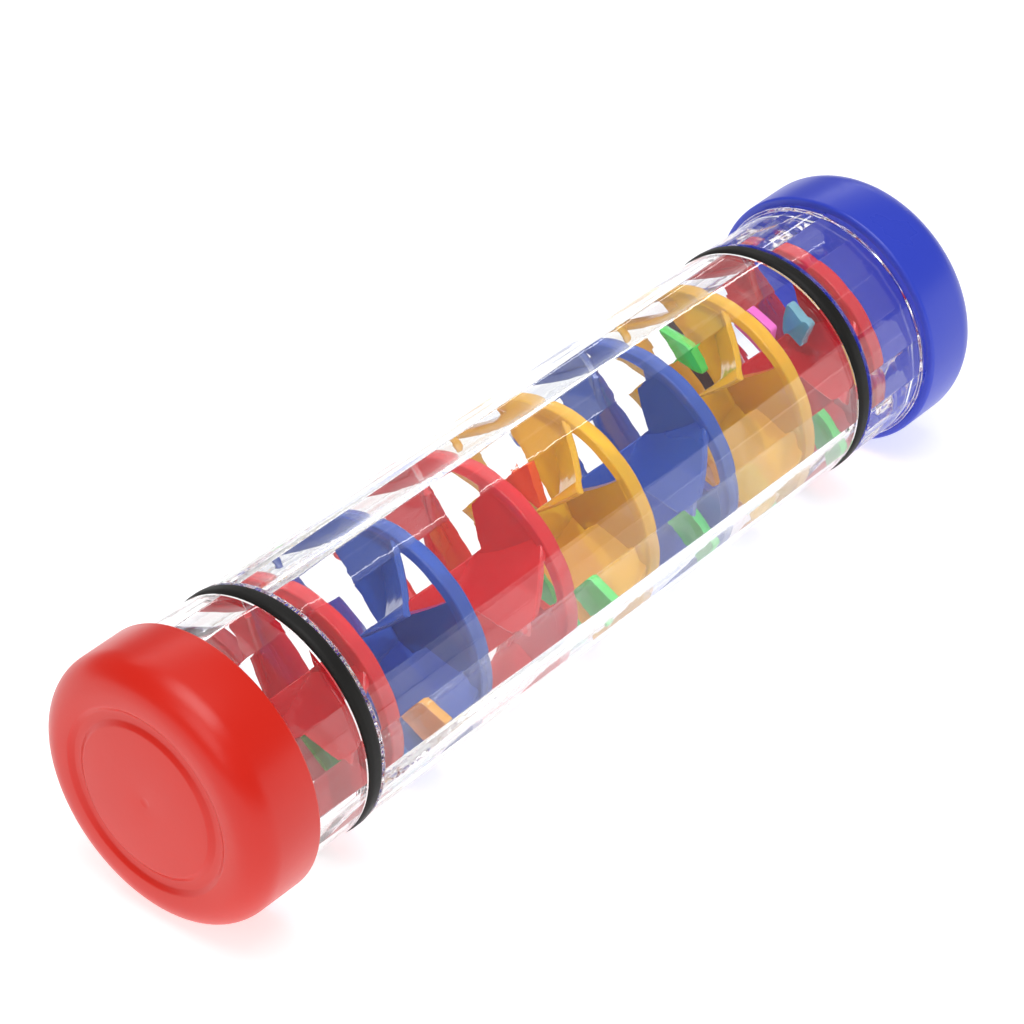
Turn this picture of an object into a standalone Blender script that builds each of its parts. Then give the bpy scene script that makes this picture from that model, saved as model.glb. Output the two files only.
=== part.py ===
# A small rainstick: a clear tube closed by a red and a blue cap, a stack of coloured
# baffles inside it, two rubber rings round it, and loose chips that rattle down the ramps.
# The stick lies along X with its red end at -X. The origin is under its middle, at the
# level that its caps lie on. Lengths are in metres, and +Z is up.

import bpy
import bmesh
from math import atan2, cos, degrees, hypot, pi, radians, sin, sqrt
from mathutils import Matrix, Vector

MM = 0.001

# Whole stick
STICK_LENGTH = 200.0 * MM
TUBE_RADIUS = 23.6 * MM
FIT_GAP = 0.3 * MM

# Caps
CAP_DEPTH = 15.0 * MM
CAP_SKIRT = 1.7 * MM
CAP_END_WALL = 2.0 * MM
CAP_EDGE_ROUND = 5.6 * MM
CAP_LIP_ROUND = 0.6 * MM
GROOVE_INNER_RADIUS = 14.4 * MM
GROOVE_WIDTH = 3.4 * MM
GROOVE_DEPTH = 0.7 * MM
GROOVE_SLOPE = 0.7 * MM
CAP_SIDES = 32
ARC_STEPS = 4

# Tube: round outside, many-sided inside
BORE_RADIUS = 21.2 * MM
BORE_SIDES = 18
BORE_TURN = 14.4
STOP_RIDGE_HEIGHT = 0.6 * MM
STOP_RIDGE_WIDTH = 1.4 * MM

# Rubber rings and their grooves, measured from the end they are nearest to
RED_RING_PLACE = 30.7 * MM
BLUE_RING_PLACE = 33.7 * MM
RING_WIDTH = 3.4 * MM
RING_PROUD = 0.2 * MM
RING_GROOVE_DEPTH = 1.4 * MM
RING_ROUND = 0.5 * MM

# Baffles
BAFFLE_PITCH = 22.6 * MM
RIM_HEIGHT = 3.0 * MM
RIM_WALL = 2.2 * MM
RIM_SIDES = 36
WEB_THICKNESS = 1.6 * MM
WEB_SETBACK = 0.4 * MM
RAMP_COUNT = 4
RAMP_ANGLE = 39.0
RAMP_RISE = 10.6 * MM
GAP_ANGLE = 7.0
POST_RADIUS = 3.0 * MM
POST_SIDES = 16
BAFFLE_TURN = -20.1
ALTERNATE_TURN = 45.0
RAMP_STEPS = 5
WEB_STEPS = 3

# Loose chips
CHIP_SIZE = 6.4 * MM
CHIP_THICKNESS = 2.0 * MM
CHIP_CORNER = 0.5 * MM

# Each chip: its colour, the baffle (counted from 0) that stops it on the blue side, how far
# along its way to that baffle it is (0 at the red side, 1 at the blue side), and its angle
# from straight down towards the front. A standing chip also has its share of the way from
# the post (0) to the bore (1).
LYING_CHIPS = (
    ("light_blue", 2, 0.90, 26.0),
    ("pink", 3, 0.50, -12.0),
    ("yellow", 5, 0.60, -33.0),
)
STANDING_CHIPS = (
    ("green", 1, 1.00, 57.0, 0.36),
    ("orange", 2, 1.00, 74.0, 1.00),
    ("green", 4, 1.00, 8.0, 1.00),
    ("green", 4, 1.00, 72.0, 1.00),
    ("orange_red", 4, 0.85, -170.0, 0.36),
    ("green", 5, 1.00, 57.0, 1.00),
    ("orange", 6, 1.00, 8.0, 1.00),
    ("green", 6, 0.95, 35.5, 1.00),
    ("green", 6, 0.85, -157.0, 0.36),
    ("green", 7, 0.60, 57.0, 1.00),
    ("pink", 7, 0.05, 160.0, 0.90),
    ("light_blue", 7, 1.00, 153.0, 0.22),
)

BAFFLE_COLOURS = ("yellow", "red", "blue", "red", "yellow", "blue", "yellow", "red")

# Colour, roughness, metallic
FINISHES = {
    "clear": ((0.90, 0.92, 0.93), 0.05, 0.0),
    "red_cap": ((0.78, 0.05, 0.02), 0.35, 0.0),
    "blue_cap": ((0.06, 0.09, 0.52), 0.35, 0.0),
    "rubber": ((0.012, 0.011, 0.011), 0.55, 0.0),
    "red": ((0.55, 0.02, 0.03), 0.25, 0.0),
    "blue": ((0.03, 0.07, 0.35), 0.25, 0.0),
    "yellow": ((0.75, 0.38, 0.02), 0.25, 0.0),
    "green": ((0.05, 0.60, 0.12), 0.20, 0.0),
    "orange": ((0.80, 0.30, 0.03), 0.20, 0.0),
    "orange_red": ((0.85, 0.09, 0.02), 0.20, 0.0),
    "pink": ((0.80, 0.10, 0.50), 0.20, 0.0),
    "light_blue": ((0.15, 0.55, 0.80), 0.20, 0.0),
}

# Sizes and counts that follow from the ones above
BAFFLE_COUNT = len(BAFFLE_COLOURS)
TUBE_SIDES = 2 * BORE_SIDES
CAP_RADIUS = TUBE_RADIUS + FIT_GAP + CAP_SKIRT
RED_END = -STICK_LENGTH / 2
BLUE_END = STICK_LENGTH / 2
TUBE_START = RED_END + CAP_END_WALL + FIT_GAP
TUBE_STOP = BLUE_END - CAP_END_WALL - FIT_GAP
LAST_BAFFLE = BLUE_END - CAP_END_WALL - FIT_GAP - BAFFLE_PITCH
RIM_RADIUS = BORE_RADIUS - FIT_GAP


def clear_scene():
    for obj in list(bpy.data.objects):
        bpy.data.objects.remove(obj, do_unlink=True)


def finish_material(name):
    colour, roughness, metallic = FINISHES[name]
    material = bpy.data.materials.get(name) or bpy.data.materials.new(name)
    material.use_nodes = True
    shader = material.node_tree.nodes["Principled BSDF"]
    shader.inputs["Base Color"].default_value = (*colour, 1.0)
    shader.inputs["Roughness"].default_value = roughness
    shader.inputs["Metallic"].default_value = metallic
    return material


def place(name, mesh, finish, location=(0.0, 0.0, CAP_RADIUS), turn=0.0):
    """Add an object with its own material, turned about X by turn degrees."""
    obj = bpy.data.objects.new(name, mesh)
    bpy.context.scene.collection.objects.link(obj)
    if not mesh.materials:
        mesh.materials.append(finish_material(finish))
    obj.material_slots[0].link = "OBJECT"
    obj.material_slots[0].material = finish_material(finish)
    obj.location = location
    obj.rotation_euler = (radians(turn), 0.0, 0.0)
    return obj


def mesh_from(bm, name, sharp_angle=30.0):
    bmesh.ops.recalc_face_normals(bm, faces=bm.faces)
    mesh = bpy.data.meshes.new(name)
    bm.to_mesh(mesh)
    bm.free()
    mesh.shade_smooth()
    mesh.set_sharp_from_angle(angle=radians(sharp_angle))
    return mesh


def around(x, radius, angle):
    """The point at a radius from the axis, at an angle from straight down towards the front."""
    return Vector((x, -radius * sin(radians(angle)), -radius * cos(radians(angle))))


def corner_radius(flat_radius, sides):
    """The radius to the corners of a many-sided round whose flats lie at flat_radius."""
    return flat_radius / cos(pi / sides)


def turned_ring(bm, x, flat_radius, sides, turn):
    """One ring of corners round the axis, or one point where it meets the axis."""
    if flat_radius == 0.0:
        return [bm.verts.new((x, 0.0, 0.0))]
    radius = corner_radius(flat_radius, sides)
    step = 360.0 / sides
    return [bm.verts.new(around(x, radius, turn + step * (side + 0.5))) for side in range(sides)]


def skin_between(bm, first, second):
    """Faces between two rings with the same number of corners, or a ring and a point."""
    count = max(len(first), len(second))
    for side in range(count):
        ahead = (side + 1) % count
        corners = [first[side % len(first)], first[ahead % len(first)],
                   second[ahead % len(second)], second[side % len(second)]]
        bm.faces.new(list(dict.fromkeys(corners)))


def turned(name, profile, sides, turn=0.0, closed=True):
    """Turn a profile of (x, flat radius) points about the X axis into a closed solid."""
    bm = bmesh.new()
    rings = [turned_ring(bm, x, radius, sides, turn) for x, radius in profile]
    for first, second in zip(rings, rings[1:]):
        skin_between(bm, first, second)
    if closed:
        skin_between(bm, rings[-1], rings[0])
    return mesh_from(bm, name)


def arc(centre_x, centre_radius, size, start, stop, steps=ARC_STEPS):
    """Profile points along an arc, by its centre, its radius and its angles in degrees."""
    points = []
    for step in range(steps + 1):
        angle = radians(start + (stop - start) * step / steps)
        points.append((centre_x + size * cos(angle), centre_radius + size * sin(angle)))
    return points


def make_cap(name, finish, end, inward):
    """A cup pressed on the tube's end. inward is +1 at the red end and -1 at the blue end."""
    groove_outer = GROOVE_INNER_RADIUS + GROOVE_WIDTH
    bore = TUBE_RADIUS + FIT_GAP
    outline = [
        (0.0, 0.0),
        (0.0, GROOVE_INNER_RADIUS),
        (GROOVE_DEPTH, GROOVE_INNER_RADIUS + GROOVE_SLOPE),
        (GROOVE_DEPTH, groove_outer - GROOVE_SLOPE),
        (0.0, groove_outer),
        *arc(CAP_EDGE_ROUND, CAP_RADIUS - CAP_EDGE_ROUND, CAP_EDGE_ROUND, 180.0, 90.0),
        *arc(CAP_DEPTH - CAP_LIP_ROUND, CAP_RADIUS - CAP_LIP_ROUND, CAP_LIP_ROUND, 90.0, 0.0, 2),
        (CAP_DEPTH, bore),
        (CAP_END_WALL, bore),
        (CAP_END_WALL, 0.0),
    ]
    profile = [(end + inward * x, radius) for x, radius in outline]
    return place(name, turned(name, profile, CAP_SIDES, closed=False), finish)


def ring_groove(centre):
    """The groove's outline in the tube's outer side, from its -X edge to its +X edge."""
    half = RING_WIDTH / 2 + FIT_GAP
    floor = TUBE_RADIUS - RING_GROOVE_DEPTH
    return [(centre - half, TUBE_RADIUS), (centre - half, floor),
            (centre + half, floor), (centre + half, TUBE_RADIUS)]


def ring_centres():
    return RED_END + RED_RING_PLACE, BLUE_END - BLUE_RING_PLACE


def bore_corners(bm, x):
    """The corners of the many-sided bore, with a corner added halfway along each flat."""
    corners = []
    step = 360.0 / TUBE_SIDES
    for side in range(TUBE_SIDES):
        on_flat = side % 2 == 0
        radius = BORE_RADIUS if on_flat else corner_radius(BORE_RADIUS, BORE_SIDES)
        corners.append(bm.verts.new(around(x, radius, BORE_TURN + step * side)))
    return corners


def make_tube():
    """A clear tube, round outside with two ring grooves, and with an 18-sided bore."""
    red_ring, blue_ring = ring_centres()
    ridge_top = TUBE_RADIUS + STOP_RIDGE_HEIGHT
    ridge_stop = BLUE_END - CAP_DEPTH - FIT_GAP
    ridge_start = ridge_stop - STOP_RIDGE_WIDTH
    ridge_slope = STOP_RIDGE_HEIGHT / 2
    profile = [
        (TUBE_START, TUBE_RADIUS),
        *ring_groove(red_ring),
        *ring_groove(blue_ring),
        (ridge_start, TUBE_RADIUS),
        (ridge_start + ridge_slope, ridge_top),
        (ridge_stop - ridge_slope, ridge_top),
        (ridge_stop, TUBE_RADIUS),
        (TUBE_STOP, TUBE_RADIUS),
    ]
    bm = bmesh.new()
    step = 360.0 / TUBE_SIDES
    turn = BORE_TURN - step / 2
    rings = [turned_ring(bm, x, radius, TUBE_SIDES, turn) for x, radius in profile]
    rings += [bore_corners(bm, TUBE_STOP), bore_corners(bm, TUBE_START)]
    for first, second in zip(rings, rings[1:] + rings[:1]):
        skin_between(bm, first, second)
    return place("tube", mesh_from(bm, "tube", sharp_angle=12.0), "clear")


def make_rubber_ring(name, centre):
    inner = TUBE_RADIUS - RING_GROOVE_DEPTH + FIT_GAP
    outer = TUBE_RADIUS + RING_PROUD
    half = RING_WIDTH / 2
    profile = [
        (centre - half, inner),
        *arc(centre - half + RING_ROUND, outer - RING_ROUND, RING_ROUND, 180.0, 90.0, 2),
        *arc(centre + half - RING_ROUND, outer - RING_ROUND, RING_ROUND, 90.0, 0.0, 2),
        (centre + half, inner),
    ]
    return place(name, turned(name, profile, TUBE_SIDES, turn=BORE_TURN - 180.0 / TUBE_SIDES), "rubber")


def ramp_height(angle):
    """How far the ramp stands in front of the web, over the ramp's own angle."""
    return RAMP_RISE * (1.0 - angle / RAMP_ANGLE)


def add_ramp_and_web(bm, start):
    """One ramp that comes down to the web, and the flat web that follows it."""
    pitch_angle = 360.0 / RAMP_COUNT
    stations = [(step * RAMP_ANGLE / RAMP_STEPS, ramp_height(step * RAMP_ANGLE / RAMP_STEPS))
                for step in range(RAMP_STEPS + 1)]
    web_angle = pitch_angle - RAMP_ANGLE - GAP_ANGLE
    stations += [(RAMP_ANGLE + step * web_angle / WEB_STEPS, 0.0) for step in range(1, WEB_STEPS + 1)]
    inner = POST_RADIUS / 2
    outer = RIM_RADIUS - RIM_WALL / 2
    back = -WEB_SETBACK
    front = back - WEB_THICKNESS
    sections = []
    for angle, height in stations:
        corners = [(front, inner), (front, outer), (back, outer), (back, inner)]
        sections.append([bm.verts.new(around(x - height, radius, start + angle)) for x, radius in corners])
    for first, second in zip(sections, sections[1:]):
        skin_between(bm, first, second)
    bm.faces.new(sections[0])
    bm.faces.new(sections[-1])


def ramps_mesh():
    bm = bmesh.new()
    for ramp in range(RAMP_COUNT):
        add_ramp_and_web(bm, ramp * 360.0 / RAMP_COUNT - RAMP_ANGLE / 2)
    return mesh_from(bm, "ramps")


def baffle_mesh(name, post_length):
    """Rim, centre post and ramps joined into one solid. Its blue side is at x = 0."""
    rim_profile = [(-RIM_HEIGHT, RIM_RADIUS - RIM_WALL), (-RIM_HEIGHT, RIM_RADIUS),
                   (0.0, RIM_RADIUS), (0.0, RIM_RADIUS - RIM_WALL)]
    shrink = cos(pi / RIM_SIDES)
    rim_profile = [(x, radius * shrink) for x, radius in rim_profile]
    post_profile = [(-post_length, 0.0), (-post_length, POST_RADIUS), (0.0, POST_RADIUS), (0.0, 0.0)]
    rim = place("rim_pattern", turned("rim", rim_profile, RIM_SIDES), "yellow")
    post = place("post_pattern", turned("post", post_profile, POST_SIDES, closed=False), "yellow")
    ramps = place("ramps_pattern", ramps_mesh(), "yellow")
    for tool in (post, ramps):
        join = rim.modifiers.new(tool.name, "BOOLEAN")
        join.operation = "UNION"
        join.solver = "EXACT"
        join.object = tool
    evaluated = rim.evaluated_get(bpy.context.evaluated_depsgraph_get())
    mesh = bpy.data.meshes.new_from_object(evaluated)
    mesh.name = name
    for tool in (rim, post, ramps):
        bpy.data.objects.remove(tool, do_unlink=True)
    mesh.shade_smooth()
    mesh.set_sharp_from_angle(angle=radians(25.0))
    return mesh


def baffle_place(number):
    """Where a baffle, counted from 0, has its blue side."""
    return LAST_BAFFLE - BAFFLE_PITCH * (BAFFLE_COUNT - 1 - number)


def baffle_turn(number):
    return BAFFLE_TURN + (ALTERNATE_TURN if number % 2 else 0.0)


def make_baffles():
    full = baffle_mesh("baffle", BAFFLE_PITCH - FIT_GAP)
    end = baffle_mesh("end_baffle", baffle_place(0) - TUBE_START)
    for number, colour in enumerate(BAFFLE_COLOURS):
        mesh = full if number else end
        name = "baffle_%d_%s" % (number + 1, colour)
        # Angles here grow from straight down towards the front, which turns about -X.
        place(name, mesh, colour, (baffle_place(number), 0.0, CAP_RADIUS), -baffle_turn(number))


def chip_mesh(name, size):
    """A plate with a size along each axis. Its upright edges are cut at the corners."""
    bm = bmesh.new()
    bmesh.ops.create_cube(bm, size=1.0, matrix=Matrix.Diagonal((*size, 1.0)))
    across = size.index(min(size))
    upright = [edge for edge in bm.edges
               if abs((edge.verts[0].co - edge.verts[1].co)[across]) > CHIP_THICKNESS / 2]
    bmesh.ops.bevel(bm, geom=upright, offset=CHIP_CORNER, segments=1, affect="EDGES")
    return mesh_from(bm, name)


def ramp_over(baffle, first, last):
    """The greatest height of a baffle's ramps between two angles, or 0 over the flat web."""
    pitch_angle = 360.0 / RAMP_COUNT
    past_start = (first - baffle_turn(baffle) + RAMP_ANGLE / 2) % pitch_angle
    if past_start + last - first >= pitch_angle:
        return RAMP_RISE
    return max(0.0, ramp_height(past_start))


def stop_height(baffle, angle, inner_radius, outer_radius):
    """How far before a baffle's blue side its rim, ramp or web stops a chip."""
    half_angle = degrees(atan2(CHIP_SIZE / 2 + FIT_GAP, inner_radius))
    ramp = ramp_over(baffle, angle - half_angle, angle + half_angle)
    stop = WEB_SETBACK + WEB_THICKNESS + ramp
    reach = hypot(outer_radius, CHIP_SIZE / 2) + FIT_GAP
    return max(stop, RIM_HEIGHT) if reach > RIM_RADIUS - RIM_WALL else stop


def make_chip(name, mesh, chip, radius, length, depth):
    """A chip that is length long along X and depth deep, in the space before its baffle."""
    colour, baffle, share, angle = chip[:4]
    stop = stop_height(baffle, angle, radius - depth / 2, radius + depth / 2)
    clear = FIT_GAP + length / 2
    first = baffle_place(baffle - 1) + clear
    last = baffle_place(baffle) - stop - clear
    spot = around(first + (last - first) * share, radius, angle) + Vector((0.0, 0.0, CAP_RADIUS))
    place(name, mesh, colour, spot, -angle)


def lowest_side():
    """How far from the axis a chip's outer side is when its corners lie on the bore."""
    return sqrt((BORE_RADIUS - FIT_GAP) ** 2 - (CHIP_SIZE / 2) ** 2)


def make_lying_chips():
    """Chips that lie flat in the bore, with their corners on it."""
    mesh = chip_mesh("lying_chip", (CHIP_SIZE, CHIP_SIZE, CHIP_THICKNESS))
    radius = lowest_side() - CHIP_THICKNESS / 2
    for number, chip in enumerate(LYING_CHIPS, start=1):
        name = "chip_%02d_%s" % (number, chip[0])
        make_chip(name, mesh, chip, radius, CHIP_SIZE, CHIP_THICKNESS)


def make_standing_chips():
    """Chips that stand across the stick, between the post and the bore."""
    mesh = chip_mesh("standing_chip", (CHIP_THICKNESS, CHIP_SIZE, CHIP_SIZE))
    at_post = POST_RADIUS + FIT_GAP + CHIP_SIZE / 2
    at_bore = lowest_side() - CHIP_SIZE / 2
    for number, chip in enumerate(STANDING_CHIPS, start=len(LYING_CHIPS) + 1):
        name = "chip_%02d_%s" % (number, chip[0])
        radius = at_post + (at_bore - at_post) * chip[4]
        make_chip(name, mesh, chip, radius, CHIP_THICKNESS, CHIP_SIZE)


def build_rainstick():
    clear_scene()
    make_tube()
    make_cap("red_cap", "red_cap", RED_END, 1.0)
    make_cap("blue_cap", "blue_cap", BLUE_END, -1.0)
    red_ring, blue_ring = ring_centres()
    make_rubber_ring("red_end_rubber_ring", red_ring)
    make_rubber_ring("blue_end_rubber_ring", blue_ring)
    make_baffles()
    make_lying_chips()
    make_standing_chips()


build_rainstick()
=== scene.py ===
import math

import bmesh
import bpy
from mathutils import Matrix, Vector


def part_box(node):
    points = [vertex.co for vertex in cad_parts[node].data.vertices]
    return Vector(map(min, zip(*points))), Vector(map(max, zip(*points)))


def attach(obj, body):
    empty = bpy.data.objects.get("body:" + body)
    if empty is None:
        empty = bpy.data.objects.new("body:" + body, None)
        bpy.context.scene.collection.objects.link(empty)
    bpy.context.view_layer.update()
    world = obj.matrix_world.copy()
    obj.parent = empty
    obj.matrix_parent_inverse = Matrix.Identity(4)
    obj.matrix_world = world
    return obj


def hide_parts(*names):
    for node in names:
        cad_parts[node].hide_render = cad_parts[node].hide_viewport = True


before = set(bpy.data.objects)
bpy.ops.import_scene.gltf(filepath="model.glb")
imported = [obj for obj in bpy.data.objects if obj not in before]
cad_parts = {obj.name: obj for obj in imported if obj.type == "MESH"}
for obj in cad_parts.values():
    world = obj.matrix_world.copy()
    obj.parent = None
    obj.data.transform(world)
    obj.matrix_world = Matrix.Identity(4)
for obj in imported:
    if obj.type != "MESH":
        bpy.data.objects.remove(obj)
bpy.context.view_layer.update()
mm = 0.001
print("frame loaded:", len(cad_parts), "nodes")

scene = bpy.context.scene
redCapLow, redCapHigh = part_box("red_cap")
blueCapLow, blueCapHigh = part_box("blue_cap")
axisHeight = (redCapLow.z + redCapHigh.z) / 2
capRadius = (redCapHigh.z - redCapLow.z) / 2
axisPoint = Vector((0, 0, axisHeight))


# shapes shared by several pieces

def around(x, radius, degrees):
    # a point round the stick's axis, counted from straight down towards the front
    turn = math.radians(degrees)
    return Vector((x, -radius * math.sin(turn), -radius * math.cos(turn)))


def bend(centreX, centreR, radius, first, last, steps):
    # outline points along an arc, as (x, radius from the axis)
    points = []
    for step in range(steps + 1):
        turn = math.radians(first + (last - first) * step / steps)
        points.append((centreX + radius * math.cos(turn), centreR + radius * math.sin(turn)))
    return points


def ringOf(bm, x, radius, sides, turn=0.0):
    if radius < 1e-9:
        return [bm.verts.new((x, 0, 0))]
    return [bm.verts.new(around(x, radius, turn + 360 * side / sides)) for side in range(sides)]


def skin(bm, first, second):
    count = max(len(first), len(second))
    for side in range(count):
        ahead = (side + 1) % count
        corners = [first[side % len(first)], first[ahead % len(first)],
                   second[ahead % len(second)], second[side % len(second)]]
        bm.faces.new(list(dict.fromkeys(corners)))


def lathe(bm, outline, sides, loop=True):
    # turns an outline of (x, radius) round the stick's axis
    rings = [ringOf(bm, x, radius, sides) for x, radius in outline]
    for first, second in zip(rings, rings[1:]):
        skin(bm, first, second)
    if loop:
        skin(bm, rings[-1], rings[0])


def softened(outline, radius, steps=3):
    # rounds the corners of a closed outline of (x, radius from the axis) points
    out = []
    for i, point in enumerate(outline):
        here = Vector(point)
        back = Vector(outline[i - 1]) - here
        ahead = Vector(outline[(i + 1) % len(outline)]) - here
        cut = min(radius, back.length * 0.45, ahead.length * 0.45)
        a = here + back.normalized() * cut
        b = here + ahead.normalized() * cut
        for step in range(steps + 1):
            t = step / steps
            p = a * (1 - t) ** 2 + here * 2 * t * (1 - t) + b * t ** 2
            out.append((p.x, p.y))
    return out


def meshOf(bm, name, sharp=30.0):
    bmesh.ops.recalc_face_normals(bm, faces=bm.faces)
    mesh = bpy.data.meshes.new(name)
    bm.to_mesh(mesh)
    bm.free()
    mesh.shade_smooth()
    mesh.set_sharp_from_angle(angle=math.radians(sharp))
    return mesh


def turned(mesh, degrees):
    # a copy of the mesh turned about the stick's axis
    copy = mesh.copy()
    copy.transform(Matrix.Rotation(-math.radians(degrees), 4, "X"))
    return copy


def addPiece(name, mesh, materials, body, node, place=axisPoint):
    piece = bpy.data.objects.new(name, mesh)
    scene.collection.objects.link(piece)
    piece.location = place
    if not mesh.materials:
        for material in materials:
            mesh.materials.append(material)
    for index, material in enumerate(materials):
        piece.material_slots[index].link = "OBJECT"
        piece.material_slots[index].material = material
    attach(piece, body)
    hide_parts(node)


# finishes

def node(tree, kind, **settings):
    made = tree.nodes.new(kind)
    for key, value in settings.items():
        setattr(made, key, value)
    return made


def noise(tree, coordinates, scale, detail=3.0, stretch=(1, 1, 1)):
    mapping = node(tree, "ShaderNodeMapping")
    mapping.inputs["Scale"].default_value = stretch
    tree.links.new(coordinates, mapping.inputs["Vector"])
    made = node(tree, "ShaderNodeTexNoise")
    made.inputs["Scale"].default_value = scale
    made.inputs["Detail"].default_value = detail
    tree.links.new(mapping.outputs["Vector"], made.inputs["Vector"])
    return made.outputs["Fac"]


def spread(tree, source, low, high, fromLow=0.3, fromHigh=0.7):
    made = node(tree, "ShaderNodeMapRange")
    made.inputs["From Min"].default_value = fromLow
    made.inputs["From Max"].default_value = fromHigh
    made.inputs["To Min"].default_value = low
    made.inputs["To Max"].default_value = high
    tree.links.new(source, made.inputs["Value"])
    return made.outputs["Result"]


def mouldedPlastic(name, look):
    # one moulded finish: colour drifts a little, the sheen is uneven and the skin has a fine grain
    material = bpy.data.materials.new(name)
    material.use_nodes = True
    tree = material.node_tree
    shader = tree.nodes["Principled BSDF"]
    coordinates = node(tree, "ShaderNodeTexCoord").outputs["Object"]

    drift = noise(tree, coordinates, look["driftScale"], 2.0, look.get("stretch", (1, 1, 1)))
    ramp = node(tree, "ShaderNodeMix", data_type="RGBA")
    ramp.inputs["A"].default_value = (*look["colour"], 1)
    ramp.inputs["B"].default_value = (*look["deep"], 1)
    tree.links.new(spread(tree, drift, 0, 1), ramp.inputs["Factor"])
    tree.links.new(ramp.outputs["Result"], shader.inputs["Base Color"])

    rub = noise(tree, coordinates, look["rubScale"], 4.0)
    low, high = look["rough"]
    tree.links.new(spread(tree, rub, low, high), shader.inputs["Roughness"])

    grain = noise(tree, coordinates, look["grainScale"], 2.0, look.get("stretch", (1, 1, 1)))
    bump = node(tree, "ShaderNodeBump")
    bump.inputs["Strength"].default_value = look["grain"]
    bump.inputs["Distance"].default_value = 0.0002
    tree.links.new(grain, bump.inputs["Height"])
    tree.links.new(bump.outputs["Normal"], shader.inputs["Normal"])

    shader.inputs["IOR"].default_value = look.get("ior", 1.5)
    shader.inputs["Transmission Weight"].default_value = look.get("through", 0.0)
    # a glow in the surface's own colour: painted light, for parts that are no lamps
    if look.get("glow"):
        shader.inputs["Emission Color"].default_value = (*look["colour"], 1)
        shader.inputs["Emission Strength"].default_value = look["glow"]
    if look.get("lampsThrough"):
        letLampsThrough(material, look["lampsThrough"])
    return material


def letLampsThrough(material, tint):
    # clear pieces cast a light shadow, so lamps reach what lies behind them
    tree = material.node_tree
    shader = tree.nodes["Principled BSDF"]
    clear = node(tree, "ShaderNodeBsdfTransparent")
    clear.inputs["Color"].default_value = (*tint, 1)
    path = node(tree, "ShaderNodeLightPath")
    mix = node(tree, "ShaderNodeMixShader")
    tree.links.new(path.outputs["Is Shadow Ray"], mix.inputs["Fac"])
    tree.links.new(shader.outputs["BSDF"], mix.inputs[1])
    tree.links.new(clear.outputs["BSDF"], mix.inputs[2])
    tree.links.new(mix.outputs["Shader"], tree.nodes["Material Output"].inputs["Surface"])


# caps

cap = {
    "endWall": 2.0 * mm,
    "depth": 15.0 * mm,
    "bore": 23.9 * mm,
    "edgeRound": 5.6 * mm,
    "lipRound": 0.6 * mm,
    "grooveInner": 14.4 * mm,
    "grooveWidth": 3.4 * mm,
    "grooveDepth": 0.7 * mm,
    "grooveLean": 0.26,          # share of the groove's width that each sloped side takes
    "gateRadius": 0.9 * mm,
    "gateDepth": 0.10 * mm,
    "insideGlow": 0.30,          # painted glow on the inside of the cap, standing in for light that the clear tube brings into the cap
    "sides": 192,
    "red": {"colour": (0.78, 0.018, 0.005), "deep": (0.72, 0.013, 0.003), "driftScale": 22,
            "rubScale": 60, "rough": (0.27, 0.36), "grainScale": 900, "grain": 0.05},
    "blue": {"colour": (0.038, 0.072, 0.66), "deep": (0.030, 0.058, 0.58), "driftScale": 22,
             "rubScale": 60, "rough": (0.27, 0.36), "grainScale": 900, "grain": 0.05},
}


def capMesh(name, end, inward):
    inner = cap["grooveInner"]
    outer = inner + cap["grooveWidth"]
    deep = cap["grooveDepth"]
    lean = cap["grooveWidth"] * cap["grooveLean"]
    gate = cap["gateRadius"]
    dimple = cap["gateDepth"]
    # the gate's dimple in the middle of the end
    outline = [(dimple, 0.0), (dimple, gate * 0.6), (0.02 * mm, gate), (0.0, gate * 1.3)]
    # down the groove's inner side
    outline += [(0.0, inner - 0.35 * mm), (0.04 * mm, inner - 0.12 * mm), (0.16 * mm, inner + 0.08 * mm)]
    outline += [(deep - 0.12 * mm, inner + lean - 0.16 * mm), (deep - 0.03 * mm, inner + lean),
                (deep, inner + lean + 0.2 * mm)]
    # and up its outer side
    outline += [(deep, outer - lean - 0.2 * mm), (deep - 0.03 * mm, outer - lean),
                (deep - 0.12 * mm, outer - lean + 0.16 * mm)]
    outline += [(0.16 * mm, outer - 0.08 * mm), (0.04 * mm, outer + 0.1 * mm), (0.0, outer + 0.3 * mm)]
    edge = cap["edgeRound"]
    outline += bend(edge, capRadius - edge, edge, 180, 90, 14)
    lip = cap["lipRound"]
    outline += bend(cap["depth"] - lip, capRadius - lip, lip, 90, 0, 5)
    outline += bend(cap["depth"] - 0.2 * mm, cap["bore"] + 0.2 * mm, 0.2 * mm, 0, -90, 2)
    outline += [(cap["endWall"], cap["bore"]), (cap["endWall"], 0.0)]
    bm = bmesh.new()
    lathe(bm, [(end + inward * x, r) for x, r in outline], cap["sides"], loop=False)
    bm.faces.ensure_lookup_table()
    # the last two rings of faces are the bore and the inner side of the end wall, which take the finish with
    # the painted glow
    for face in bm.faces[-2 * cap["sides"]:]:
        face.material_index = 1
    return meshOf(bm, name, 28)


def capFinishes(colour):
    # the inside finish glows: painted light in place of the light that comes in through the clear tube
    inside = dict(cap[colour], glow=cap["insideGlow"])
    return [mouldedPlastic(colour + "CapPlastic", cap[colour]), mouldedPlastic(colour + "CapInside", inside)]


addPiece("capRed", capMesh("capRed", redCapLow.x, 1), capFinishes("red"),
         "stick", "red_cap")
addPiece("capBlue", capMesh("capBlue", blueCapHigh.x, -1), capFinishes("blue"),
         "stick", "blue_cap")
print("caps made")


# rubber rings

rubber = {
    "innerRadius": 22.5 * mm,
    "round": 1.15 * mm,
    "sides": 192,
    "look": {"colour": (0.010, 0.0095, 0.009), "deep": (0.016, 0.015, 0.014), "driftScale": 90,
             "rubScale": 140, "rough": (0.44, 0.60), "grainScale": 1500, "grain": 0.12, "ior": 1.3},
}
rubberFinish = mouldedPlastic("blackRubber", rubber["look"])


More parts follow.
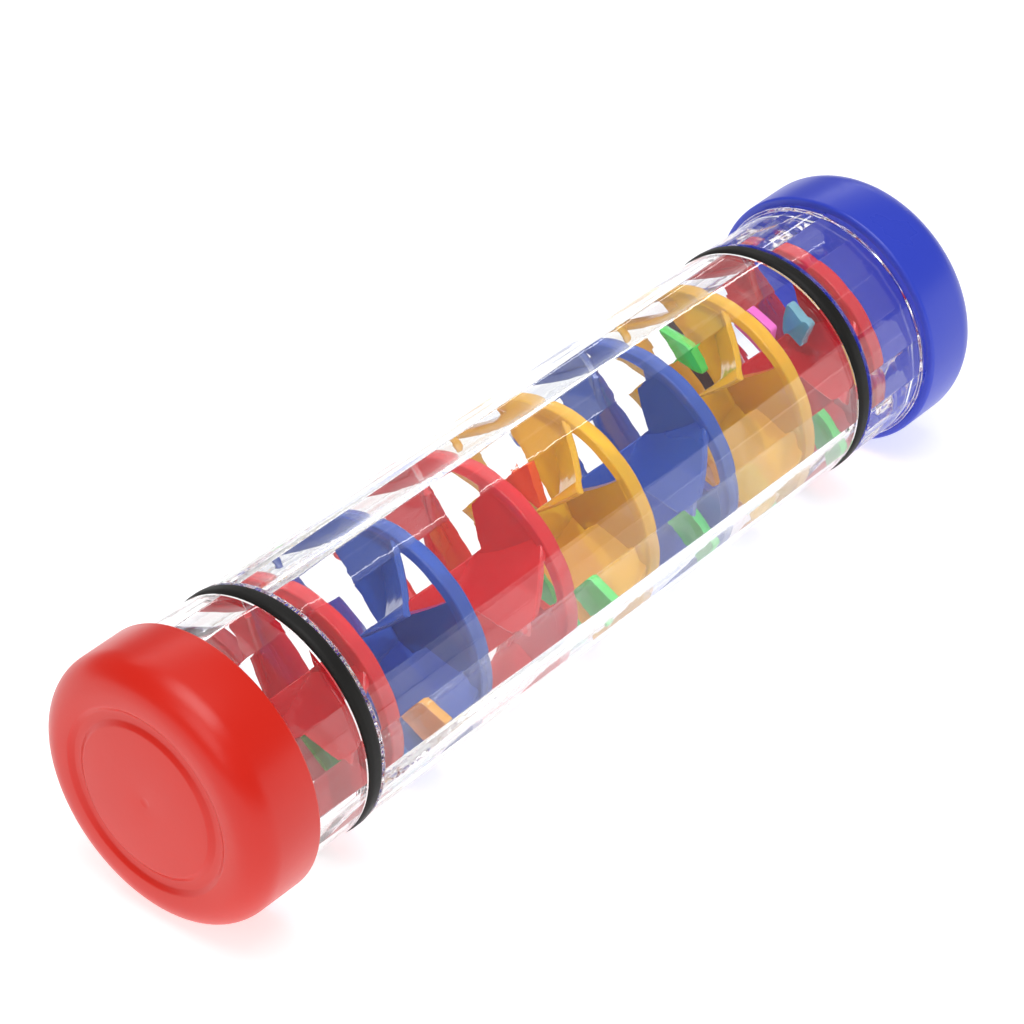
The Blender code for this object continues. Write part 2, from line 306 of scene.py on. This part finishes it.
def rubberRing(name, cadNode):
    low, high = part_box(cadNode)
    middle = (low.x + high.x) / 2
    half = (high.x - low.x) / 2
    outer = (high.z - low.z) / 2
    edge = rubber["round"]
    outline = [(middle - half, rubber["innerRadius"])]
    outline += bend(middle - half + edge, outer - edge, edge, 180, 90, 6)
    outline += bend(middle + half - edge, outer - edge, edge, 90, 0, 6)
    outline += [(middle + half, rubber["innerRadius"])]
    bm = bmesh.new()
    lathe(bm, outline, rubber["sides"])
    addPiece(name, meshOf(bm, name), [rubberFinish], "stick", cadNode)


rubberRing("rubberRingRedEnd", "red_end_rubber_ring")
rubberRing("rubberRingBlueEnd", "blue_end_rubber_ring")
print("rubber rings made")


# clear tube

tube = {
    "radius": 23.6 * mm,
    "boreFlat": 21.2 * mm,       # axis to the middle of each inner flat
    "flats": 18,
    "boreTurn": 14.4,            # degrees to the middle of one flat
    "cornerSoft": 0.45,          # degrees of rounding at each inner corner
    "ringGap": 0.3 * mm,
    "grooveDepth": 1.4 * mm,
    "ridgeHeight": 0.6 * mm,
    "ridgeWidth": 1.4 * mm,
    "edgeSoft": 0.22 * mm,
    "perFlat": 12,               # faces round the tube for each flat
    "look": {"colour": (0.985, 0.99, 0.99), "deep": (0.97, 0.98, 0.985), "driftScale": 30,
             "rubScale": 45, "rough": (0.0, 0.025), "grainScale": 240, "grain": 0.16,
             "stretch": (1, 0.3, 0.3), "ior": 1.5, "through": 1.0, "lampsThrough": (0.97, 0.975, 0.98)},
}


def boreRing(bm, x):
    # one ring of the many-sided bore with slightly rounded corners
    flat = tube["boreFlat"]
    half = 180 / tube["flats"]
    soft = tube["cornerSoft"]
    corner = flat / math.cos(math.radians(half))
    softRadius = flat / math.cos(math.radians(half - soft))
    inner = tube["perFlat"] - 2
    verts = []
    for side in range(tube["flats"]):
        middle = tube["boreTurn"] + side * 2 * half
        verts.append(bm.verts.new(around(x, (corner + softRadius) / 2, middle - half)))
        for step in range(inner + 1):
            offset = -(half - soft) + 2 * (half - soft) * step / inner
            verts.append(bm.verts.new(around(x, flat / math.cos(math.radians(offset)), middle + offset)))
    return verts


def tubeMesh():
    low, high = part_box("tube")
    outerR = tube["radius"]
    floor = outerR - tube["grooveDepth"]
    outline = [(low.x, outerR)]
    for cadNode in ("red_end_rubber_ring", "blue_end_rubber_ring"):
        ringLow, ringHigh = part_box(cadNode)
        left, right = ringLow.x - tube["ringGap"], ringHigh.x + tube["ringGap"]
        outline += [(left, outerR), (left, floor), (right, floor), (right, outerR)]
    ridgeStop = blueCapLow.x - tube["ringGap"]
    ridgeStart = ridgeStop - tube["ridgeWidth"]
    ridgeTop = outerR + tube["ridgeHeight"]
    slope = tube["ridgeHeight"] / 2
    outline += [(ridgeStart, outerR), (ridgeStart + slope, ridgeTop), (ridgeStop - slope, ridgeTop),
                (ridgeStop, outerR), (high.x, outerR)]
    outline = softened(outline, tube["edgeSoft"])
    sides = tube["flats"] * tube["perFlat"]
    turn = tube["boreTurn"] - 180 / tube["flats"]
    bm = bmesh.new()
    rings = [ringOf(bm, x, r, sides, turn) for x, r in outline]
    for first, second in zip(rings, rings[1:]):
        skin(bm, first, second)
    start, stop = boreRing(bm, low.x), boreRing(bm, high.x)
    skin(bm, rings[-1], stop)
    flatFaces = len(bm.faces)
    skin(bm, stop, start)
    skin(bm, start, rings[0])
    mesh = meshOf(bm, "tubeClear", 24)
    for offset in range(sides):
        # the flats stay truly flat, and only the narrow corners are smoothed
        inCorner = offset % tube["perFlat"] in (0, tube["perFlat"] - 1)
        mesh.polygons[flatFaces + offset].use_smooth = inCorner
    return mesh


addPiece("tubeClear", tubeMesh(), [mouldedPlastic("clearTubePlastic", tube["look"])],
         "stick", "tube")
print("clear tube made")


# baffles

baffle = {
    "names": ["baffle_1_yellow", "baffle_2_red", "baffle_3_blue", "baffle_4_red", "baffle_5_yellow",
              "baffle_6_blue", "baffle_7_yellow", "baffle_8_red"],
    "rimRadius": 20.9 * mm,
    "rimWall": 2.2 * mm,
    "rimHeight": 3.0 * mm,
    "rimSoft": 0.45 * mm,
    "rimSides": 144,
    "web": 1.6 * mm,
    "setback": 0.4 * mm,
    "ramps": 4,
    "rampAngle": 39.0,
    "rampRise": 10.6 * mm,
    "gapAngle": 7.0,             # open angle between a web's end and the next ramp
    "rampSteps": 20,
    "webSteps": 10,
    "bladeEdge": 20.2 * mm,
    "postRadius": 3.0 * mm,
    "postEdge": 0.3 * mm,
    "postSides": 48,
    "postGap": 0.3 * mm,         # between a post's end and the baffle before it
    "turn": -20.1,
    "nextTurn": 45.0,
    "red": {"colour": (0.80, 0.016, 0.030), "deep": (0.70, 0.010, 0.022), "driftScale": 40,
            "rubScale": 90, "rough": (0.06, 0.12), "grainScale": 300, "grain": 0.03, "through": 0.5,
            "lampsThrough": (0.85, 0.30, 0.30)},
    "blue": {"colour": (0.040, 0.12, 0.52), "deep": (0.030, 0.09, 0.44), "driftScale": 40,
             "rubScale": 90, "rough": (0.06, 0.12), "grainScale": 300, "grain": 0.03, "through": 0.5,
             "lampsThrough": (0.35, 0.45, 0.85)},
    "yellow": {"colour": (0.95, 0.56, 0.018), "deep": (0.90, 0.49, 0.014), "driftScale": 40,
               "rubScale": 90, "rough": (0.06, 0.12), "grainScale": 300, "grain": 0.03, "through": 0.5,
               "lampsThrough": (0.35, 0.45, 0.85)},
}


def addBlade(bm, start):
    # one ramp that comes down to the flat web, with a rounded free edge
    rampAngle, rise = baffle["rampAngle"], baffle["rampRise"]
    webAngle = 360 / baffle["ramps"] - rampAngle - baffle["gapAngle"]
    # each station has its angle, its height and its share of the web's thickness
    stations = [(-1.9, rise, 0.25), (-1.5, rise, 0.65), (-0.8, rise, 0.92)]
    stations += [(rampAngle * i / baffle["rampSteps"], rise * (1 - i / baffle["rampSteps"]), 1.0)
                 for i in range(baffle["rampSteps"] + 1)]
    stations += [(rampAngle + webAngle * i / baffle["webSteps"], 0.0, 1.0)
                 for i in range(1, baffle["webSteps"] + 1)]
    inner, outer = baffle["postRadius"] * 0.5, baffle["bladeEdge"]
    middle = -baffle["setback"] - baffle["web"] / 2
    sections = []
    for angle, height, thick in stations:
        half = baffle["web"] / 2 * thick
        corners = [(middle - half, inner), (middle - half, outer - 0.25 * mm), (middle - half * 0.6, outer),
                   (middle + half * 0.6, outer), (middle + half, outer - 0.25 * mm), (middle + half, inner)]
        sections.append([bm.verts.new(around(x - height, r, start + angle)) for x, r in corners])
    for first, second in zip(sections, sections[1:]):
        skin(bm, first, second)
    bm.faces.new(sections[0])
    bm.faces.new(sections[-1])


def rawSolid(name, bm):
    bmesh.ops.recalc_face_normals(bm, faces=bm.faces)
    mesh = bpy.data.meshes.new(name)
    bm.to_mesh(mesh)
    bm.free()
    made = bpy.data.objects.new(name, mesh)
    scene.collection.objects.link(made)
    return made


def baffleMesh(name, postLength):
    rimOuter, rimInner = baffle["rimRadius"], baffle["rimRadius"] - baffle["rimWall"]
    rimStart = -baffle["rimHeight"]
    rimOutline = softened([(rimStart, rimInner), (rimStart, rimOuter), (0.0, rimOuter), (0.0, rimInner)],
                          baffle["rimSoft"])
    bm = bmesh.new()
    lathe(bm, rimOutline, baffle["rimSides"])
    rim = rawSolid("rimPattern", bm)
    bm = bmesh.new()
    post, cut = baffle["postRadius"], baffle["postEdge"]
    lathe(bm, [(-postLength, 0.0), (-postLength, post - cut), (-postLength + cut, post),
               (-cut, post), (0.0, post - cut), (0.0, 0.0)], baffle["postSides"], loop=False)
    postPattern = rawSolid("postPattern", bm)
    bm = bmesh.new()
    for ramp in range(baffle["ramps"]):
        addBlade(bm, ramp * 360 / baffle["ramps"] - baffle["rampAngle"] / 2)
    bladePattern = rawSolid("bladePattern", bm)
    for tool in (postPattern, bladePattern):
        join = rim.modifiers.new(tool.name, "BOOLEAN")
        join.operation = "UNION"
        join.solver = "EXACT"
        join.object = tool
    shaped = rim.evaluated_get(bpy.context.evaluated_depsgraph_get())
    mesh = bpy.data.meshes.new_from_object(shaped)
    mesh.name = name
    for tool in (rim, postPattern, bladePattern):
        bpy.data.objects.remove(tool, do_unlink=True)
    mesh.shade_smooth()
    mesh.set_sharp_from_angle(angle=math.radians(24))
    return mesh


baffleFinishes = {}
for colour in ("red", "blue", "yellow"):
    baffleFinishes[colour] = mouldedPlastic(colour + "Translucent", baffle[colour])
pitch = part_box("baffle_3_blue")[1].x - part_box("baffle_2_red")[1].x
firstLow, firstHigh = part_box("baffle_1_yellow")
straightBaffle = turned(baffleMesh("baffleStraight", pitch - baffle["postGap"]), baffle["turn"])
turnedBaffle = turned(straightBaffle, baffle["nextTurn"])
endBaffle = turned(baffleMesh("baffleEnd", firstHigh.x - firstLow.x), baffle["turn"])
for number, cadNode in enumerate(baffle["names"]):
    colour = cadNode.split("_")[2]
    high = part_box(cadNode)[1]
    mesh = turnedBaffle if number % 2 else straightBaffle if number else endBaffle
    name = "baffle%d%s" % (number + 1, colour.capitalize())
    addPiece(name, mesh, [baffleFinishes[colour]], "stick", cadNode,
             Vector((high.x, 0, axisHeight)))
print("baffles made")


# loose chips

chip = {
    "size": 6.4 * mm,
    "thick": 2.0 * mm,
    "corner": 0.55 * mm,
    "edge": 0.18 * mm,
    "face": {"driftScale": 200, "rubScale": 300, "rough": (0.05, 0.14), "grainScale": 700,
             "grain": 0.03, "through": 0.5},
    "rim": {"driftScale": 200, "rubScale": 300, "rough": (0.12, 0.22), "grainScale": 700,
            "grain": 0.03, "through": 0.5},
    # each colour: the chip's body, then a lighter colour for its edges that is a painted highlight
    "colours": {
        "green": ((0.03, 0.70, 0.10), (0.12, 0.95, 0.20)),
        "light_blue": ((0.12, 0.62, 0.90), (0.35, 0.85, 1.0)),
        "orange": ((0.95, 0.36, 0.02), (1.0, 0.50, 0.03)),
        "pink": ((0.90, 0.12, 0.62), (1.0, 0.18, 0.75)),
        "yellow": ((0.90, 0.62, 0.03), (1.0, 0.85, 0.05)),
        "orange_red": ((0.95, 0.09, 0.015), (1.0, 0.16, 0.03)),
    },
    # the edges also glow a little: painted highlight, though the chips are no lamps
    "rimGlow": 0.10,
}


def chipMesh():
    bm = bmesh.new()
    bmesh.ops.create_cube(bm, size=1, matrix=Matrix.Diagonal((chip["size"], chip["size"], chip["thick"], 1)))
    upright = [e for e in bm.edges if abs((e.verts[0].co - e.verts[1].co).z) > chip["thick"] / 2]
    bmesh.ops.bevel(bm, geom=upright, offset=chip["corner"], segments=4, affect="EDGES", profile=0.5)
    level = [e for e in bm.edges if abs(e.verts[0].co.z - e.verts[1].co.z) < 1e-7
             and any(abs(f.normal.z) > 0.9 for f in e.link_faces)]
    bmesh.ops.bevel(bm, geom=level, offset=chip["edge"], segments=2, affect="EDGES", profile=0.5)
    bm.normal_update()
    # the sides take the edge finish with the painted highlight
    for face in bm.faces:
        face.material_index = 0 if abs(face.normal.z) > 0.9 else 1
    return meshOf(bm, "looseChip", 35)


def stoodUp(mesh):
    # a copy of the lying chip that stands across the stick
    copy = mesh.copy()
    copy.transform(Matrix.Rotation(math.radians(90), 4, "Y"))
    return copy


def chipFinishes(colour):
    body, edge = chip["colours"][colour]
    deep = tuple(c * 0.9 for c in body)
    face = dict(chip["face"], colour=body, deep=deep)
    # the edge finish is lighter and glows: painted highlight on the chips' edges
    rim = dict(chip["rim"], colour=edge, deep=tuple(c * 0.92 for c in edge), glow=chip["rimGlow"])
    label = colour.replace("_", "")
    return [mouldedPlastic(label + "ChipFace", face), mouldedPlastic(label + "ChipEdge", rim)]


lyingChip = chipMesh()
standingChip = stoodUp(lyingChip)
finishesByColour = {colour: chipFinishes(colour) for colour in chip["colours"]}
for cadNode in sorted(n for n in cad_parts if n.startswith("chip_")):
    low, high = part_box(cadNode)
    middle = (low + high) / 2
    colour = cadNode[8:]
    lean = math.degrees(math.atan2(-middle.y, -(middle.z - axisHeight)))
    shape = standingChip if high.x - low.x < chip["size"] / 2 else lyingChip
    name = "looseChip" + cadNode[5:7] + colour.replace("_", " ").title().replace(" ", "")
    addPiece(name, turned(shape, lean), finishesByColour[colour], cadNode[:7],
             cadNode, middle)
print("chips made")


# floor, light and camera

studio = {
    "floorSize": 8.0,
    "floorColour": (0.65, 0.65, 0.65),
    "floorGlow": 0.66,
    "fill": 0.26,          # soft light from all round
    "backdrop": 1.0,       # what is seen above the floor
    "throughTube": 0.75,   # share of the backdrop that reaches in through the clear tube
    "camera": (-0.45249, -0.37824, 0.46744),
    "looking": (0.61132, 0.51913, -0.59734),
    "lens": 145.1,
    "bounces": 96,         # light that is caught in the tube's wall bounces many times
    # each lamp: name, direction from the stick, distance, size along and across the stick, watts
    "lamps": [
        ("backSoftbox", (0.55, 0.55, 0.62), 1.2, 1.3, 0.5, 0.8),
        ("topSoftbox", (-0.1, -0.1, 1.0), 1.3, 0.9, 0.9, 10),
        ("frontSoftbox", (-0.9, -0.25, 0.75), 1.4, 0.8, 0.8, 3.2),
        ("lowReflector", (0.62, -0.78, 0.12), 1.2, 1.2, 0.3, 1.0),
        ("stripLamp", (0.611, 0.601, 0.514), 1.2, 2.0, 0.03, 1.6),
    ],
}


def softbox(name, towards, distance, along, across, power):
    # a lamp that faces the stick, with its long side along the stick
    lamp = bpy.data.lights.new(name, "AREA")
    lamp.shape = "RECTANGLE"
    lamp.size, lamp.size_y = along, across
    lamp.energy = power
    made = bpy.data.objects.new(name, lamp)
    scene.collection.objects.link(made)
    away = Vector(towards).normalized()
    side = (Vector((1, 0, 0)) - away * away.x).normalized()
    made.location = axisPoint + away * distance
    made.rotation_euler = Matrix((side, away.cross(side), away)).transposed().to_euler()


def layFloor():
    bm = bmesh.new()
    half = studio["floorSize"] / 2
    bmesh.ops.create_grid(bm, x_segments=2, y_segments=2, size=half)
    mesh = bpy.data.meshes.new("floor")
    bm.to_mesh(mesh)
    bm.free()
    floor = bpy.data.objects.new("floor", mesh)
    scene.collection.objects.link(floor)
    material = bpy.data.materials.new("paleFloor")
    material.use_nodes = True
    shader = material.node_tree.nodes["Principled BSDF"]
    shader.inputs["Base Color"].default_value = (*studio["floorColour"], 1)
    shader.inputs["Roughness"].default_value = 0.9
    shader.inputs["Emission Color"].default_value = (1, 1, 1, 1)
    shader.inputs["Emission Strength"].default_value = studio["floorGlow"]
    mesh.materials.append(material)


def setWorld():
    world = bpy.data.worlds.new("studio")
    scene.world = world
    world.use_nodes = True
    tree = world.node_tree
    background = tree.nodes["Background"]
    background.inputs["Color"].default_value = (1, 1, 1, 1)
    path = node(tree, "ShaderNodeLightPath")
    seen = node(tree, "ShaderNodeMath", operation="MAXIMUM")
    through = node(tree, "ShaderNodeMath", operation="MULTIPLY")
    through.inputs[1].default_value = studio["throughTube"]
    tree.links.new(path.outputs["Is Transmission Ray"], through.inputs[0])
    tree.links.new(path.outputs["Is Camera Ray"], seen.inputs[0])
    tree.links.new(through.outputs["Value"], seen.inputs[1])
    level = node(tree, "ShaderNodeMapRange")
    level.inputs["To Min"].default_value = studio["fill"]
    level.inputs["To Max"].default_value = studio["backdrop"]
    tree.links.new(seen.outputs["Value"], level.inputs["Value"])
    tree.links.new(level.outputs["Result"], background.inputs["Strength"])


layFloor()
setWorld()
for lamp in studio["lamps"]:
    softbox(*lamp)

camera = bpy.data.objects.new("camera", bpy.data.cameras.new("camera"))
scene.collection.objects.link(camera)
camera.location = studio["camera"]
camera.rotation_euler = Vector(studio["looking"]).to_track_quat("-Z", "Y").to_euler()
camera.data.lens = studio["lens"]
camera.data.sensor_width = 36
scene.camera = camera
scene.view_settings.view_transform = "Standard"
scene.cycles.max_bounces = studio["bounces"]
scene.cycles.transmission_bounces = studio["bounces"]
scene.cycles.glossy_bounces = studio["bounces"]
print("floor, light and camera set")
